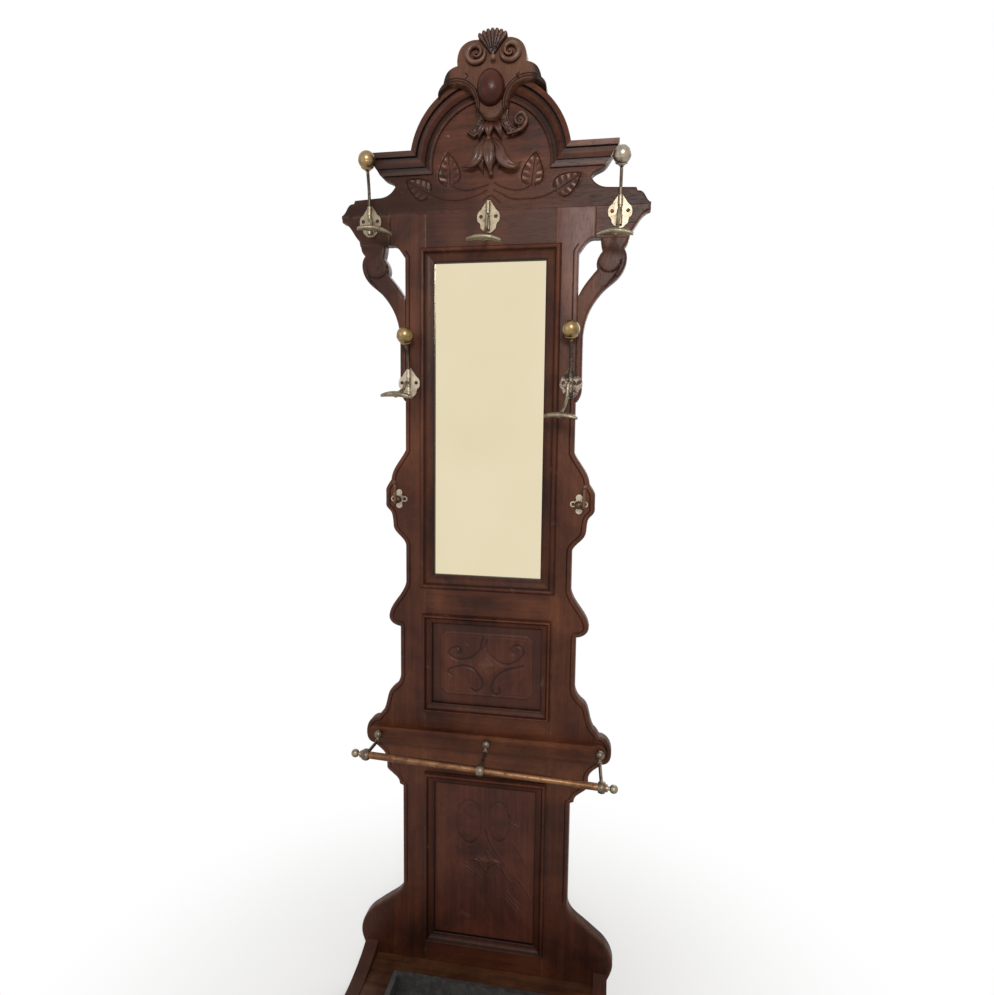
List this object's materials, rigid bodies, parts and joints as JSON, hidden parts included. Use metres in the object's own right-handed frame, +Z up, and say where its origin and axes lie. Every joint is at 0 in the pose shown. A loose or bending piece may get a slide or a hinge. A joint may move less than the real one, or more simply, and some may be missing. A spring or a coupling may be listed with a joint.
{
  "type": "hall tree",
  "caption": "Tall carved wooden hall tree with a framed mirror, swivelling coat hooks, an umbrella rail and a base tray with a lift-out drip pan.",
  "frame": {"origin": "middle of the stand's footprint on the floor", "axes": "+Z up, +Y towards the wall, +X to the viewer's right, front faces -Y"},
  "size_m": [0.68, 0.3, 2.248],
  "materials": {
    "dark_wood": "dark reddish brown stain, worn satin",
    "back_wood": "plain unfinished softwood",
    "mirror": "silvered plate glass, slightly aged",
    "nickel_plate": "worn nickel plating with dark spots",
    "ball_brass": "worn satin brass",
    "pewter_iron": "grey worn castings",
    "dark_iron": "dark patinated iron",
    "rail_brass": "brown lacquered brass",
    "zinc_sheet": "dull sheet zinc",
    "steel": "plain steel, dulled"
  },
  "bodies": {
    "frame": {"apron_board": "dark_wood", "arch_moulding": "dark_wood", "bellflower_drop": "dark_wood", "bottom_rail": "dark_wood", "cartouche": "dark_wood", "centre_hook_plate": "nickel_plate", "centre_rail_bracket": "dark_iron", "crest_board": "dark_wood", "crest_dowels": "back_wood", "egg_boss": "dark_wood", "front_board": "dark_wood", "hook_pins": "steel", "hook_screws": "steel", "left_arm_block": "dark_wood", "left_brace": "dark_wood", "left_cheek": "dark_wood", "left_cornice": "dark_wood", "left_peg": "dark_iron", "left_peg_plate": "nickel_plate", "left_rail_bracket": "dark_iron", "left_stile": "dark_wood", "lower_panel": "dark_wood", "lower_panel_moulding": "dark_wood", "middle_left_ball_prong": "ball_brass", "middle_left_hook_plate": "nickel_plate", "middle_rail": "dark_wood", "middle_right_ball_prong": "ball_brass", "middle_right_hook_plate": "nickel_plate", "mirror_backboard": "back_wood", "mirror_glass": "mirror", "mirror_moulding": "dark_wood", "mirror_rail": "dark_wood", "palmette": "dark_wood", "rail_finials": "rail_brass", "right_arm_block": "dark_wood", "right_brace": "dark_wood", "right_cheek": "dark_wood", "right_cornice": "dark_wood", "right_peg": "dark_iron", "right_peg_plate": "nickel_plate", "right_rail_bracket": "dark_iron", "right_stile": "dark_wood", "strapwork": "dark_wood", "top_left_ball_prong": "ball_brass", "top_left_hook_plate": "nickel_plate", "top_rail": "dark_wood", "top_right_ball_prong": "nickel_plate", "top_right_hook_plate": "nickel_plate", "tray_board": "dark_wood", "umbrella_rail": "rail_brass", "upper_panel": "dark_wood", "upper_panel_moulding": "dark_wood"},
    "top_left_arm": {"top_left_hook_arm": "pewter_iron"},
    "top_right_arm": {"top_right_hook_arm": "pewter_iron"},
    "centre_arm": {"centre_hook_arm": "pewter_iron"},
    "middle_left_arm": {"middle_left_hook_arm": "pewter_iron"},
    "middle_right_arm": {"middle_right_hook_arm": "pewter_iron"},
    "drip_pan": {"drip_pan": "zinc_sheet"}
  },
  "joints": [
    {"name": "top_left_swing", "type": "hinge", "parent": "frame", "child": "top_left_arm", "pos_m": [-0.271, 0.1154, 1.891], "axis": [0, 0, 1], "range_deg": [-76, 14]},
    {"name": "top_right_swing", "type": "hinge", "parent": "frame", "child": "top_right_arm", "pos_m": [0.277, 0.1154, 1.891], "axis": [0, 0, 1], "range_deg": [-37, 53]},
    {"name": "centre_swing", "type": "hinge", "parent": "frame", "child": "centre_arm", "pos_m": [-0.003, 0.1154, 1.891], "axis": [0, 0, 1], "range_deg": [-48, 42]},
    {"name": "middle_left_swing", "type": "hinge", "parent": "frame", "child": "middle_left_arm", "pos_m": [-0.1822, 0.1154, 1.536], "axis": [0, 0, 1], "range_deg": [-36, 54]},
    {"name": "middle_right_swing", "type": "hinge", "parent": "frame", "child": "middle_right_arm", "pos_m": [0.183, 0.1154, 1.536], "axis": [0, 0, 1], "range_deg": [-29, 61]},
    {"name": "drip_pan_lift", "type": "slide", "parent": "frame", "child": "drip_pan", "axis": [0, 0, 1], "range_m": [0, 0.12]}
  ]
}
